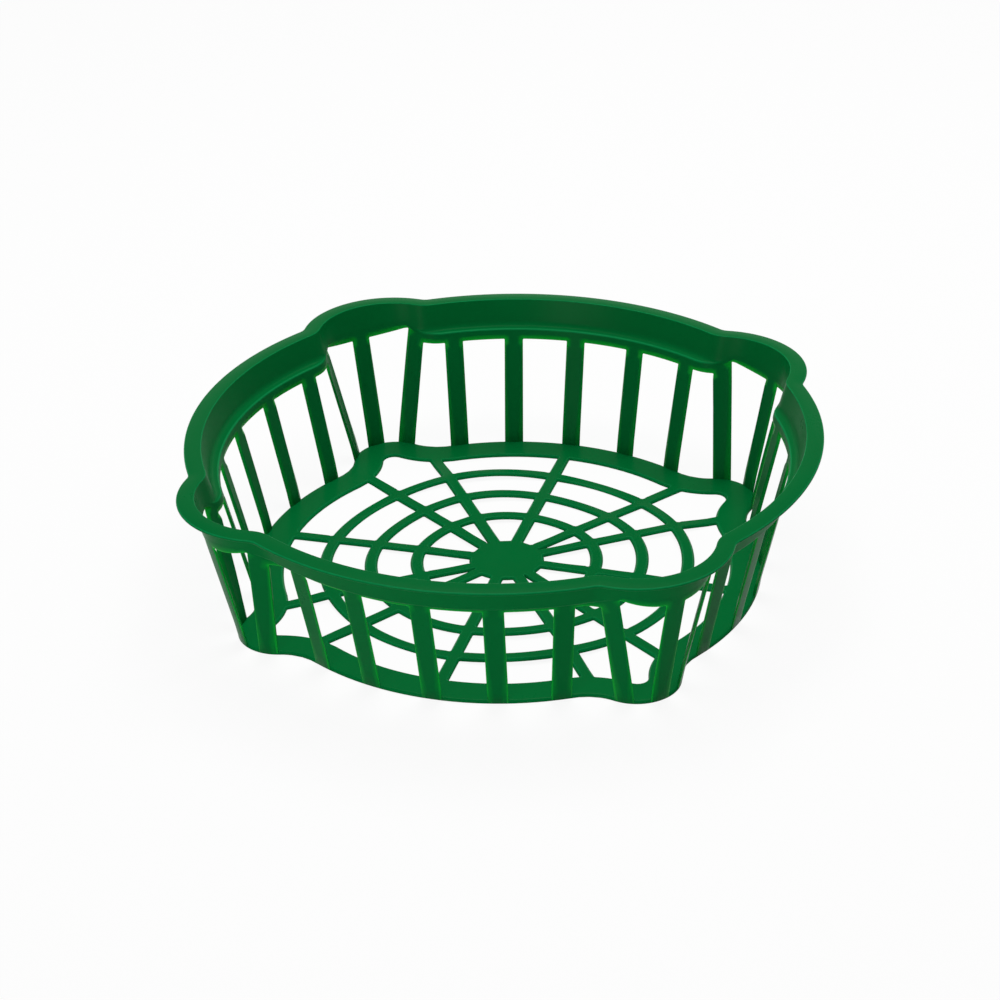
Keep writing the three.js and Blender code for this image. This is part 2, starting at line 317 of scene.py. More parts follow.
def evenly(line: np.ndarray, count: int, start: float = 0.0, end: float = 0.0) -> np.ndarray:
    """Points at even steps along a polyline.

    Args:
        line: The polyline's points.
        count: How many steps to make.
        start: Length left out at its start.
        end: Length left out at its end.

    Returns:
        count + 1 points.
    """
    steps = np.linalg.norm(np.diff(line, axis=0), axis=1)
    along = np.concatenate([[0.0], np.cumsum(steps)])
    wanted = np.linspace(start, along[-1] - end, count + 1)
    return np.stack([np.interp(wanted, along, line[:, k]) for k in range(line.shape[1])], -1)


def rounded_path(
    sides: list[np.ndarray], counts: list[int], fillet: float, half: int, closed: bool
) -> np.ndarray:
    """Joins sides into one path and rounds the corners between them.

    Each side loses a fillet's length at its corners, and a bent curve takes its place. Half of that
    curve's steps count as the first side's and half as the second's.

    Args:
        sides: Polylines, each ending where the next begins.
        counts: Steps for each side, with its halves of the corners.
        fillet: Length taken off each side at a corner.
        half: Steps in half a corner.
        closed: Whether the last side meets the first one.

    Returns:
        The path's points, sum(counts) + 1 of them; a closed path repeats its first point.
    """
    last = len(sides) - 1
    straight = []
    for i, (side, count) in enumerate(zip(sides, counts)):
        starts, ends = closed or i > 0, closed or i < last
        steps = count - half * (starts + ends)
        straight.append(evenly(side, steps, fillet * starts, fillet * ends))
    path = []
    for i, line in enumerate(straight):
        path.append(line)
        if i < last or closed:
            after = straight[(i + 1) % len(straight)][0]
            path.append(bent(line[-1], sides[i][-1], after, 2 * half)[1:-1])
    joined = np.concatenate(path)
    if closed:
        joined = np.roll(joined, half, axis=0)
        joined = np.concatenate([joined, joined[:1]])
    return joined


@dataclass(frozen=True)
class EdgeProfile:
    """The section of an opening's edge, from the middle of the rib beside it and back.

    insets are distances in from the opening's outline, and None stands for the rib's middle. depths
    run through the plastic from its first face to its second. light is the painted glow of a thin edge
    at each point, and below 0 its painted highlight; side_light is the same down a slat's sides.
    """

    insets: tuple[float | None, ...]
    depths: tuple[float, ...]
    light: tuple[float, ...]
    side_light: tuple[float, ...] = ()
    most: float = 0.96

    def shares(self, edge: np.ndarray, rib: np.ndarray) -> np.ndarray:
        """How far across the rib's half width each inset is, at each step of an opening's path.

        Args:
            edge: The opening's outline.
            rib: The rib's middle line, in step with it.

        Returns:
            (step, inset, 1) array: 0 on the outline, 1 on the middle line, and no inset but None
            past the most that is allowed.
        """
        widths = np.linalg.norm(rib - edge, axis=1)
        insets = np.array([np.nan if inset is None else inset for inset in self.insets])
        shares = insets[None, :] / np.maximum(widths, TINY)[:, None]
        return np.where(np.isnan(shares), 1.0, np.minimum(shares, self.most))[..., None]


def quarter_round(size: float, steps: int) -> tuple[np.ndarray, np.ndarray]:
    """A quarter circle from a face to an edge: insets from the edge, and depths below the face."""
    angle = np.linspace(0.0, np.pi / 2, steps + 1)
    return size * (1 - np.sin(angle)), size * (1 - np.cos(angle))


def wall_edge(thickness: float, slope: float = 2.25, lip: float = 0.48) -> EdgeProfile:
    """A window's edge: the inner face falls away over a long slope to a thin rounded edge.

    Args:
        thickness: The wall's thickness.
        slope: Width of the slope.
        lip: Thickness that the slope leaves at the edge.

    Returns:
        The profile, with the glow growing towards the thin edge.
    """
    fall = thickness - lip
    return EdgeProfile(*zip(
        # inset, depth, light over a window, light down a slat's side
        (None, 0.0, 0.0, 0.0),
        (slope + 1.0, 0.0, 0.0, 0.0),
        (slope + 0.25, 0.0, 0.12, 0.04),
        (slope, 0.04, 0.28, 0.1),
        (slope - 0.3, 0.18 * fall, 0.45, 0.16),
        (1.15, 0.55 * fall, 0.74, 0.26),
        (0.55, 0.84 * fall, 0.95, 0.33),
        (0.22, fall, 1.0, 0.35),
        (0.06, fall + 0.09, 1.0, 0.3),
        (0.0, fall + 0.2, 1.0, 0.3),
        (0.05, fall + 0.3, 1.0, 0.55),
        (0.2, thickness - 0.13, 0.85, 0.8),
        (0.5, thickness - 0.06, 0.5, 0.5),
        (1.0, thickness - 0.02, 0.25, 0.25),
        (slope, thickness, 0.1, 0.1),
        (slope + 0.9, thickness, 0.0, 0.0),
        (slope + 1.2, thickness, 0.0, 0.0),
        (None, thickness, 0.0, 0.0),
    ))


def floor_edge(thickness: float, slope: float = 0.9, size: float = 0.22) -> EdgeProfile:
    """An opening's edge in the floor: a flat top, a long slope down its side, and a small turn below.

    Args:
        thickness: The floor's thickness.
        slope: Width of the slope.
        size: Size of the rounding between the top and the slope.

    Returns:
        The profile, with a painted highlight where the top rounds over.
    """
    return EdgeProfile(*zip(
        # inset, depth, light (below 0, a painted highlight)
        (None, 0.0, 0.0),
        (slope + 2 * size, 0.0, 0.0),
        (slope + size, 0.0, -0.08),
        (slope + size * 0.35, 0.1 * size, -0.25),
        (slope - size * 0.6, size * 0.8, -0.2),
        (0.1, thickness - 0.55, 0.0),
        (0.0, thickness - 0.3, 0.05),
        (0.07, thickness - 0.1, 0.05),
        (0.25, thickness, 0.0),
        (None, thickness, 0.0),
    ))


# ---------------------------------------------------------------- meshes


@dataclass
class Shell:
    """Gathers grids of points and welds them into one closed mesh."""

    name: str
    replaced: tuple[str, ...]
    points: list[np.ndarray] = field(default_factory=list)
    lights: list[np.ndarray] = field(default_factory=list)
    faces: list[np.ndarray] = field(default_factory=list)
    count: int = 0

    def add_grid(self, grid: np.ndarray, light: Number = 0.0) -> None:
        """Adds a grid of points as quads.

        Args:
            grid: Points, in rows and columns, in millimetres.
            light: Painted glow at each point where above 0, painted highlight where below 0.
        """
        rows, columns = grid.shape[:2]
        index = self.count + np.arange(rows * columns).reshape(rows, columns)
        quads = np.stack([index[:-1, :-1], index[1:, :-1], index[1:, 1:], index[:-1, 1:]], -1)
        self.points.append(grid.reshape(-1, 3))
        self.lights.append(np.broadcast_to(light, (rows, columns)).reshape(-1))
        self.faces.append(quads.reshape(-1, 4))
        self.count += rows * columns

    def build(self, material: bpy.types.Material) -> bpy.types.Object:
        """Makes the object: welds the grids, turns the faces outwards and smooths them.

        Args:
            material: The finish that it gets.

        Returns:
            The object, on the part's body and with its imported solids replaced.
        """
        mesh = bpy.data.meshes.new(self.name)
        points = np.concatenate(self.points) * MM
        mesh.from_pydata(points.tolist(), [], np.concatenate(self.faces).tolist())
        glow = mesh.attributes.new(EDGE_LIGHT, "FLOAT", "POINT")
        glow.data.foreach_set("value", np.concatenate(self.lights).astype(np.float32))
        self.weld(mesh)
        mesh.polygons.foreach_set("use_smooth", np.ones(len(mesh.polygons), bool))
        mesh.materials.append(material)
        piece = bpy.data.objects.new(self.name, mesh)
        bpy.context.scene.collection.objects.link(piece)
        weighted = piece.modifiers.new("weighted_normals", "WEIGHTED_NORMAL")
        weighted.keep_sharp = False
        weighted.weight = NORMAL_WEIGHT
        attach(piece, "root")
        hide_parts(*self.replaced)
        return piece

    def weld(self, mesh: bpy.types.Mesh) -> None:
        """Merges points that coincide and makes all faces point outwards.

        Args:
            mesh: The mesh, which is changed.
        """
        work = bmesh.new()
        work.from_mesh(mesh)
        bmesh.ops.remove_doubles(work, verts=work.verts, dist=WELD_REACH * MM)
        bmesh.ops.dissolve_degenerate(work, edges=work.edges, dist=SLIVER * MM)
        bmesh.ops.recalc_face_normals(work, faces=work.faces)
        open_edges = sum(1 for edge in work.edges if not edge.is_manifold)
        log.info("%s: %d faces, %d open edges", self.name, len(work.faces), open_edges)
        work.to_mesh(mesh)
        work.free()


# ---------------------------------------------------------------- the wall


class WindowKind(Enum):
    """Which part of the plan a window is in, and how many steps its top edge takes."""

    ARC = 14
    CUSP = 16
    LOBE = 18


@dataclass(frozen=True)
class Window:
    """The opening between two neighbouring slats, with the wall round it rolled out flat."""

    kind: WindowKind
    left: Slat
    right: Slat

    @property
    def middle(self) -> float:
        """Polar angle of the window's middle."""
        return (self.left.top + self.right.top) / 2

    @property
    def pace(self) -> float:
        """Millimetres of the flat wall for each degree, as it is at the level of the windows' tops."""
        faces = self.left.faces
        return float(faces.pace(np.float64(self.middle), np.float64(faces.sizes.window_top)))

    def flat(self, degrees: Number, height: Number) -> np.ndarray:
        """Polar angles and heights as points of the flat wall."""
        return np.stack([(degrees - self.middle) * self.pace, height], -1)

    def degrees(self, lengths: Number) -> Number:
        """Polar angles of lengths along the flat wall."""
        return self.middle + lengths / self.pace


@dataclass(frozen=True)
class Corner:
    """A corner of the rim's section: where it is, how far it is rounded, and its edge light: painted glow
    above 0, painted highlight below 0.
    """

    outline: Outline
    height: np.ndarray
    rounding: float = 0.0
    light: Number = 0.0


@dataclass
class BasketWall:
    """Lip, rim wall, ledge, bands and slats as one moulding."""

    sizes: WallSizes = WallSizes()
    roundings: Roundings = Roundings()
    window_fillet: float = 0.5
    corner_half: int = 3
    corner_steps: int = 4
    corner_most: float = 0.48
    side_steps: int = 9
    side_samples: int = 40
    top_samples: int = 60
    corner_tries: int = 8
    seam_tries: int = 20
    foot_level: float = 0.15
    band_line: float = 2.6
    cusp_line: float = 1.6
    climb_turn: float = 2.0
    climb_share: float = 0.45
    ledge_clear: float = 1.3
    plate_clear: float = 0.8
    # Shares of the painted highlight on the ledge's nose and the rim's inner edge, and on the lip's outer
    # edge.
    edge_highlight: float = 0.4
    lip_highlight: float = 0.42
    glow_fade: float = 3.0

    def __post_init__(self) -> None:
        """Works out the wall's faces and its slats, in order round the basket."""
        s = self.sizes
        self.faces = WallFaces(s)
        self.slats: list[Slat] = []
        last = len(s.slat_tops) - 1
        for side in range(len(SIDES)):
            middle = side * QUARTER_TURN
            for place in range(-last, last + 1):
                hand, k = (-1 if place < 0 else 1), abs(place)
                foot, top = middle + hand * s.slat_feet[k], middle + hand * s.slat_tops[k]
                self.slats.append(Slat(self.faces, foot, top, s.cusp_slat_less if k == last else 0.0))
            lobe = middle + LOBE_ANGLE
            self.slats.append(Slat(self.faces, lobe, lobe))
        cusp_slat = self.slats[2 * last]
        self.split = cusp_slat.top + float(cusp_slat.half_turn(np.float64(s.window_top)))

    def windows(self) -> list[Window]:
        """Puts a window between each slat and the next one.

        Returns:
            The windows, in order round the basket.
        """
        tops = self.sizes.slat_tops
        result = []
        for left, right in zip(self.slats, self.slats[1:] + self.slats[:1]):
            if right.top < left.top:
                right = replace(right, foot=right.foot + FULL_TURN, top=right.top + FULL_TURN)
            away = from_lobe((left.top + right.top) / 2)
            if away < LOBE_ANGLE - tops[-1]:
                kind = WindowKind.LOBE
            elif away < LOBE_ANGLE - tops[-2]:
                kind = WindowKind.CUSP
            else:
                kind = WindowKind.ARC
            result.append(Window(kind, left, right))
        return result

    def window_top(self, degrees: Number, kind: WindowKind) -> np.ndarray:
        """Height of a window's top edge: level under an arc, rising towards the cusps in a lobe.

        Args:
            degrees: Polar angles.
            kind: The window's kind.

        Returns:
            The heights; in a lobe they climb by a power of the angle from its middle.
        """
        s = self.sizes
        level = np.full(np.shape(degrees), s.window_top)
        if kind is not WindowKind.LOBE:
            return level
        share = np.minimum(from_lobe(degrees) / (LOBE_ANGLE - self.split), 1.0)
        return level + mix(s.lobe_middle_rise, s.lobe_cusp_rise, share**s.lobe_rise_power)

    def seam_height(self, degrees: Number) -> Number:
        """Height of the line on the band where the windows' grids meet the rim's.

        It runs a little above the windows' tops, and climbs across each cusp slat. The climb starts
        climb_turn degrees before the slat's middle, and climb_share of it is done there.

        Args:
            degrees: Polar angles.

        Returns:
            The heights, on straight lines between a few stops from an arc's middle to the lobe's.
        """
        s = self.sizes
        cusp = s.slat_tops[-1]
        low = s.window_top + self.band_line
        high = s.window_top + s.lobe_cusp_rise + self.cusp_line
        middle = s.window_top + s.lobe_middle_rise + self.band_line
        stops = [0.0, cusp - self.climb_turn, cusp, self.split, LOBE_ANGLE]
        heights = [low, low, mix(low, high, self.climb_share), high, middle]
        return np.interp(LOBE_ANGLE - from_lobe(degrees), stops, heights)

    def corner(self, slat: Slat, hand: int, kind: WindowKind) -> tuple[float, float]:
        """Where a slat's edge meets a window's top.

        The height is put back into the slat's line a few times, until it settles.

        Args:
            slat: The slat.
            hand: Which of its edges.
            kind: The window's kind.

        Returns:
            The corner's polar angle and height.
        """
        height = np.float64(self.sizes.window_top)
        for _ in range(self.corner_tries):
            height = self.window_top(slat.line(height, hand), kind)
        return float(slat.line(height, hand)), float(height)

    def seam_line(self, window: Window) -> np.ndarray:
        """The line on the band where a window's grid meets the rim's.

        Args:
            window: The window.

        Returns:
            Polar angles and heights, from one slat's middle to the next one's.
        """
        ends = []
        for slat in (window.left, window.right):
            height = np.float64(self.sizes.window_top)
            for _ in range(self.seam_tries):
                height = mix(height, self.seam_height(slat.angle(height)), 0.5)
            ends.append(float(slat.angle(height)))
        degrees = np.linspace(ends[0], ends[1], window.kind.value + 1)
        return np.stack([degrees, self.seam_height(degrees)], -1)

    def window_edge(self, window: Window) -> np.ndarray:
        """A window's outline on the flat wall: up one slat, along the top and down the next slat.

        Args:
            window: The window.

        Returns:
            The outline's points, with rounded corners.
        """
        left, right, kind = window.left, window.right, window.kind
        start, end = self.corner(left, 1, kind), self.corner(right, -1, kind)
        rise = np.linspace(self.foot_level, start[1], self.side_samples)
        fall = np.linspace(end[1], self.foot_level, self.side_samples)
        over = np.linspace(start[0], end[0], self.top_samples)
        sides = [
            window.flat(left.line(rise, 1), rise),
            window.flat(over, self.window_top(over, kind)),
            window.flat(right.line(fall, -1), fall),
        ]
        counts = [self.side_steps, kind.value, self.side_steps]
        return rounded_path(sides, counts, self.window_fillet, self.corner_half, closed=False)

    def window_rib(self, window: Window) -> np.ndarray:
        """The slats' middle lines and the seam between them, on the flat wall.

        Args:
            window: The window.

        Returns:
            Points in step with those of the window's outline.
        """
        seam = self.seam_line(window)
        rise = np.linspace(self.foot_level, seam[0, 1], self.side_steps + 1)
        fall = np.linspace(seam[-1, 1], self.foot_level, self.side_steps + 1)
        return np.concatenate([
            window.flat(window.left.angle(rise), rise)[:-1],
            window.flat(seam[:, 0], seam[:, 1])[:-1],
            window.flat(window.right.angle(fall), fall),
        ])

    def window_grid(self, window: Window) -> tuple[np.ndarray, np.ndarray]:
        """The plastic round one window.

        The path round the window is one parameter and the section of its edge the other. Each point
        lies a share of the way from the outline to the rib's middle, goes onto the wall at the
        section's depth, and is moved onto its slat's straight lines.

        Args:
            window: The window.

        Returns:
            The grid's points, and the painted glow at each.
        """
        edge, rib = self.window_edge(window), self.window_rib(window)
        profile = wall_edge(self.sizes.thickness)
        shares = profile.shares(edge, rib)
        flat = mix(edge[:, None, :], rib[:, None, :], shares)
        degrees, height = window.degrees(flat[..., 0]), flat[..., 1]
        grid = self.faces.place(degrees, height, np.array(profile.depths)[None, :])
        half = self.side_steps + window.kind.value // 2 + 1
        halves = ((slice(None, half), window.left, 1), (slice(half, None), window.right, -1))
        for part, slat, hand in halves:
            grid[part] += mix(slat.bow(height[part], hand), slat.bow(height[part], 0), shares[part])
        top = self.window_top(window.degrees(edge[:, 0]), window.kind)
        below = np.clip((top - edge[:, 1]) / self.glow_fade, 0.0, 1.0)
        return grid, mix(np.array(profile.light), np.array(profile.side_light), below[:, None])

    def ledge_share(self, degrees: np.ndarray) -> np.ndarray:
        """How much of its full width the ledge has.

        Args:
            degrees: Polar angles.

        Returns:
            1 on an arc, 0 in a lobe.
        """
        level, width = np.full(degrees.shape, self.sizes.ledge), self.sizes.ledge_width
        inner, stepped = (self.faces.outline(level, 0.0, step).radius(degrees) for step in (0.0, width))
        return np.clip((stepped - inner) / width, 0.0, 1.0)

    def rim_corners(self, degrees: np.ndarray) -> list[Corner]:
        """The rim's section at each polar angle.

        Args:
            degrees: The angles.

        Returns:
            Its corners, from the seam on the inner face, over the ledge and the lip, to the seam on
            the outer face.
        """
        s, r, t = self.sizes, self.roundings, self.sizes.thickness
        outline = self.faces.outline
        rim = s.lip.grow(-s.lip_width)
        seam = self.seam_height(degrees)
        ledge = np.maximum(s.ledge, seam + self.ledge_clear)
        plate = np.maximum(s.ledge - s.ledge_thickness, seam + self.plate_clear)
        top = np.full(degrees.shape, s.height)
        edge_top = top - s.lip_drop
        # Painted highlights on the ledge's nose, the rim's inner edge and the lip's outer edge; the nose's
        # fades where the ledge narrows into a lobe.
        nose_highlight = self.edge_highlight * self.ledge_share(degrees)
        back = outline(ledge, 0.0, s.ledge_width - s.ledge_hollow)
        return [
            Corner(outline(seam, 0.0), seam),
            Corner(outline(ledge, 0.0), ledge + s.ledge_nose, r.nose, -nose_highlight),
            Corner(back, ledge + s.ledge_back, r.hollow),
            Corner(rim, top, r.rim, -self.edge_highlight),
            Corner(rim.grow(s.lip_flat), top, r.lip_top),
            Corner(s.lip, edge_top, r.lip_edge, -self.lip_highlight),
            Corner(s.lip, edge_top - s.lip_edge, r.lip_edge),
            Corner(rim.grow(t), top - s.lip_thickness, r.lip_below),
            Corner(outline(plate, t, s.ledge_width), plate, r.plate_back),
            Corner(outline(plate, t), plate, r.plate_nose),
            Corner(outline(seam, t), seam),
        ]

    def rounded_section(self, corners: np.ndarray, roundings: list[float]) -> np.ndarray:
        """Rounds the corners of many sections at once.

        A corner becomes a bent curve between points a rounding's size away on its two sides. On a
        side that is too short for that, it starts just under halfway.

        Args:
            corners: (angle, corner, 2) array of sections.
            roundings: The rounding's size at each corner.

        Returns:
            (angle, point, 2) array of rounded sections.
        """
        points = [corners[:, :1]]
        for k in range(1, corners.shape[1] - 1):
            here = corners[:, k]
            ends = []
            for side in (corners[:, k - 1] - here, corners[:, k + 1] - here):
                length = np.linalg.norm(side, axis=-1, keepdims=True)
                reach = np.minimum(roundings[k], self.corner_most * length)
                ends.append((here + side / np.maximum(length, TINY) * reach)[:, None])
            points.append(bent(ends[0], here[:, None], ends[1], self.corner_steps))
        points.append(corners[:, -1:])
        return np.concatenate(points, 1)

    def rim_grid(self) -> tuple[np.ndarray, np.ndarray]:
        """The rim all the way round: angle is one parameter and the place on its section the other.

        Returns:
            The grid's points, and the painted highlight at each, which is on the middle of each rounding.
        """
        angles = [self.seam_line(window)[:-1, 0] for window in self.windows()]
        degrees = np.concatenate([*angles, [angles[0][0] + FULL_TURN]])
        corners = self.rim_corners(degrees)
        sharp = [np.stack([corner.outline.radius(degrees), corner.height], -1) for corner in corners]
        section = self.rounded_section(np.stack(sharp, 1), [corner.rounding for corner in corners])
        light = np.zeros(section.shape[:2])
        each = self.corner_steps + 1
        for k, corner in enumerate(corners[1:-1]):
            light[:, k * each + 2 : (k + 1) * each] = np.reshape(corner.light, (-1, 1))
        return polar(section[..., 0], degrees[:, None], section[..., 1]), light

    def foot_caps(self, grid: np.ndarray) -> list[np.ndarray]:
        """Closes the two half slats at a window grid's ends: each pairs points across the section."""
        half = grid.shape[1] // 2
        return [np.stack([row[:half], row[::-1][:half]], 1) for row in (grid[0], grid[-1])]

    def replaced_nodes(self) -> tuple[str, ...]:
        """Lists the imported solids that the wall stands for.

        Returns:
            Their names.
        """
        places = [f"{row}_{hand}" for row in ("inner", "outer", "cusp") for hand in ("left", "right")]
        names = ["rim_lip", "rim_wall", *(f"ledge_{side}" for side in SIDES)]
        names += [f"{kind}_{lobe}" for kind in ("lobe_band", "slat_lobe") for lobe in LOBES]
        names += [f"slat_{side}_{place}" for side in SIDES for place in ("middle", *places)]
        return tuple(names)

    def build(self, material: bpy.types.Material) -> bpy.types.Object:
        """Makes the wall.

        Args:
            material: Its finish.

        Returns:
            The object.
        """
        shell = Shell("basket_wall", self.replaced_nodes())
        for window in self.windows():
            grid, light = self.window_grid(window)
            shell.add_grid(grid, light)
            for cap in self.foot_caps(grid):
                shell.add_grid(cap)
        shell.add_grid(*self.rim_grid())
        return shell.build(material)


# ---------------------------------------------------------------- the floor


@dataclass
class BasketFloor:
    """Border, rings, spokes and hub as one moulding, whose web is slightly domed and swayed."""

    thickness: float = 1.4
    border_width: float = 13.1
    border_rounding: tuple[float, float] = (1.1, 0.2)
    border_insets: tuple[float, ...] = (4.0, 2.0)
    border_steps: int = 4
    seam_width: float = 7.0
    hub_radius: float = 15.6
    hub_radii: tuple[float, ...] = (12.0, 8.0, 4.0, 0.0)
    spoke_width: float = 5.45
    ring_width: float = 5.4
    rings: tuple[float, ...] = (37.35, 56.2, 75.25)
    spoke_angle: float = 35.19
    fillet: float = 0.6
    corner_half: int = 2
    corner_tries: int = 6
    radial_steps: int = 8
    arc_steps: int = 16
    lobe_steps: int = 30
    spoke_samples: int = 30
    arc_samples: int = 200
    dome: float = 0.88
    dome_reach: float = 93.0
    sway_waves: int = 4
    sway_angle: float = 26.0
    sway_radii: tuple[float, ...] = (15.6, 37.5, 56.35, 75.25, 90.0)
    sway_out: tuple[float, ...] = (0.0, 0.05, 0.4, 0.3, 0.0)
    sway_up: tuple[float, ...] = (0.0, 0.3, 0.6, 1.05, 0.0)
    foot: Outline = WallSizes().foot

    def spokes(self) -> list[float]:
        """Works out where the spokes are: three to each side of the basket.

        Returns:
            Their polar angles, in order round the hub, and the first one again.
        """
        turns = (-self.spoke_angle, 0.0, self.spoke_angle)
        angles = [side * QUARTER_TURN + turn for side in range(len(SIDES)) for turn in turns]
        return [*angles, angles[0] + FULL_TURN]

    def steps(self, left: float, right: float) -> int:
        """Steps between two spokes: more across a lobe, where the border's outline bends more."""
        return self.arc_steps if right - left > LOBE_ANGLE / 2 else self.lobe_steps

    def flat(self, radius: Number, degrees: Number) -> np.ndarray:
        """Plan points at a radius and polar angle."""
        return polar(radius, degrees, 0.0)[..., :2]

    def turn_at(self, radius: Number) -> Number:
        """Half a spoke's width, in degrees, at a distance from the middle."""
        return np.degrees(np.arcsin(self.spoke_width / 2 / radius))

    def beside_spoke(self, degrees: float, hand: int, inner: float, outer: float) -> np.ndarray:
        """The line along a spoke's side, between two distances from the middle."""
        radius = np.linspace(inner, outer, self.spoke_samples)
        return self.flat(radius, degrees + hand * self.turn_at(radius))

    def border_corner(self, degrees: float, hand: int, outline: Outline) -> float:
        """Distance from the middle at which a spoke's side meets the border's inner edge.

        The distance is put back into the outline a few times, until it settles.

        Args:
            degrees: The spoke's polar angle.
            hand: Which of its sides.
            outline: The border's inner edge.

        Returns:
            The distance.
        """
        radius = float(outline.radius(np.float64(degrees)))
        for _ in range(self.corner_tries):
            radius = float(outline.radius(degrees + hand * self.turn_at(radius)))
        return radius

    def opening_edge(self, left: float, right: float, row: int) -> np.ndarray:
        """The outline of one opening of the web, with rounded corners.

        Its sides are the hub's or the inner ring's edge, a spoke's side, the outer ring's or the
        border's edge, and the other spoke's side.

        Args:
            left: Polar angle of the spoke on one side.
            right: Polar angle of the spoke on the other side.
            row: 0 beside the hub, 3 beside the border.

        Returns:
            The outline's points.
        """
        half = self.ring_width / 2
        inner = self.hub_radius if row == 0 else self.rings[row - 1] + half
        if row < len(self.rings):
            ends = [self.rings[row] - half] * 2
        else:
            border = self.foot.grow(-self.border_width)
            ends = [self.border_corner(left, 1, border), self.border_corner(right, -1, border)]
        sweep = np.linspace(0.0, 1.0, self.arc_samples)
        near = mix(left + self.turn_at(inner), right - self.turn_at(inner), sweep)
        far = mix(left + self.turn_at(ends[0]), right - self.turn_at(ends[1]), sweep)
        sides = [
            self.flat(inner, near),
            self.beside_spoke(right, -1, inner, ends[1]),
            self.flat(ends[0] if row < len(self.rings) else border.radius(far), far)[::-1],
            self.beside_spoke(left, 1, inner, ends[0])[::-1],
        ]
        steps = self.steps(left, right)
        counts = [steps, self.radial_steps, steps, self.radial_steps]
        return rounded_path(sides, counts, self.fillet, self.corner_half, closed=True)

    def opening_rib(self, left: float, right: float, row: int) -> np.ndarray:
        """The middle lines of what lies round an opening: hub or ring, spoke, ring or border, spoke.

        Args:
            left: Polar angle of the spoke on one side.
            right: Polar angle of the spoke on the other side.
            row: 0 beside the hub, 3 beside the border.

        Returns:
            Points in step with those of the opening's outline.
        """
        angles = mix(left, right, np.linspace(0.0, 1.0, self.steps(left, right) + 1))
        near = self.flat((self.hub_radii[0], *self.rings)[row], angles)
        if row < len(self.rings):
            far = self.flat(self.rings[row], angles)
        else:
            far = self.border_seam(left, right)
        along = np.linspace(0.0, 1.0, self.radial_steps + 1)[:, None]
        outwards, back = mix(near[-1], far[-1], along), mix(far[0], near[0], along)
        return np.concatenate([near[:-1], outwards[:-1], far[::-1][:-1], back])

    def opening_grid(self, left: float, right: float, row: int) -> tuple[np.ndarray, np.ndarray]:
        """The plastic round one opening of the web.

        The path round the opening is one parameter and the section of its edge the other: a point
        lies a share of the way from the outline to the middle line, at the section's depth.

        Args:
            left: Polar angle of the spoke on one side.
            right: Polar angle of the spoke on the other side.
            row: 0 beside the hub, 3 beside the border.

        Returns:
            The grid's points, and the edge light at each: painted glow above 0, painted highlight below 0.
        """
        edge, rib = self.opening_edge(left, right, row), self.opening_rib(left, right, row)
        profile = floor_edge(self.thickness)
        plan = mix(edge[:, None, :], rib[:, None, :], profile.shares(edge, rib))
        height = np.broadcast_to(self.thickness - np.array(profile.depths), plan.shape[:2])
        return np.concatenate([plan, height[..., None]], -1), np.array(profile.light)[None, :]

    def border_seam(self, left: float, right: float) -> np.ndarray:
        """The line on the border where the openings' grids meet the border's, between two spokes.

        Args:
            left: Polar angle of one spoke.
            right: Polar angle of the other.

        Returns:
            Its points, at even steps along it.
        """
        arc = mix(left, right, np.linspace(0.0, 1.0, self.arc_samples))
        line = self.flat(self.foot.grow(-self.seam_width).radius(arc), arc)
        return evenly(line, self.steps(left, right))

    def border_grid(self, left: float, right: float) -> np.ndarray:
        """The outer part of the border between two spokes: a section carried along the outline.

        Args:
            left: Polar angle of one spoke.
            right: Polar angle of the other.

        Returns:
            The grid's points, from the seam on top, round the outer edge, to the seam below.
        """
        line = self.border_seam(left, right)
        degrees = np.degrees(np.arctan2(line[:, 1], line[:, 0])) + QUARTER_TURN
        top, below = (quarter_round(size, self.border_steps) for size in self.border_rounding)
        level = np.zeros(len(self.border_insets))
        insets = np.concatenate([self.border_insets, top[0], below[0][::-1], self.border_insets[::-1]])
        heights = np.concatenate([self.thickness - np.append(level, top[1]), below[1][::-1], level])
        outline = self.foot.grow(-insets[None, :])
        ring = polar(outline.radius(degrees[:, None]), degrees[:, None], heights[None, :])
        first, last = (np.insert(line, 2, height, axis=1)[:, None] for height in (self.thickness, 0.0))
        return np.concatenate([first, ring, last], 1)

    def hub_grid(self, left: float, right: float, height: float) -> np.ndarray:
        """A slice of the hub's top or underside, from its seam to the middle."""
        degrees = mix(left, right, np.linspace(0.0, 1.0, self.steps(left, right) + 1))
        return polar(np.array(self.hub_radii)[None, :], degrees[:, None], height)

    def domed(self, grid: np.ndarray) -> np.ndarray:
        """Lifts and sways the web, as the photograph shows it.

        It lifts by the dome's height in the middle, less by the cube of the distance from there. The
        rings sway outwards and up, then inwards and down, by a cosine of a few waves to the turn.
        Where the web sinks, it grows thinner, so that it stays above the ground.

        Args:
            grid: The flat floor's points.

        Returns:
            The points of the real one.
        """
        radius = np.hypot(grid[..., 0], grid[..., 1])
        angle = np.arctan2(grid[..., 0], -grid[..., 1]) - math.radians(self.sway_angle)
        wave = np.cos(self.sway_waves * angle)
        outwards = wave * np.interp(radius, self.sway_radii, self.sway_out)
        share = np.minimum(radius / self.dome_reach, 1.0)
        lift = self.dome * (1.0 - share**3) + wave * np.interp(radius, self.sway_radii, self.sway_up)
        thinner = 1.0 + np.minimum(lift, 0.0) / self.thickness
        shaped = grid.copy()
        shaped[..., :2] *= (1.0 + outwards / np.maximum(radius, 1.0))[..., None]
        shaped[..., 2] = np.maximum(lift, 0.0) + grid[..., 2] * thinner
        return shaped

    def replaced_nodes(self) -> tuple[str, ...]:
        """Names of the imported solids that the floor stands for."""
        rings = [f"ring_{name}" for name in ("inner", "middle", "outer")]
        return ("floor_border", "hub_disc", *rings, *(f"spoke_{k + 1}" for k in range(3 * len(SIDES))))

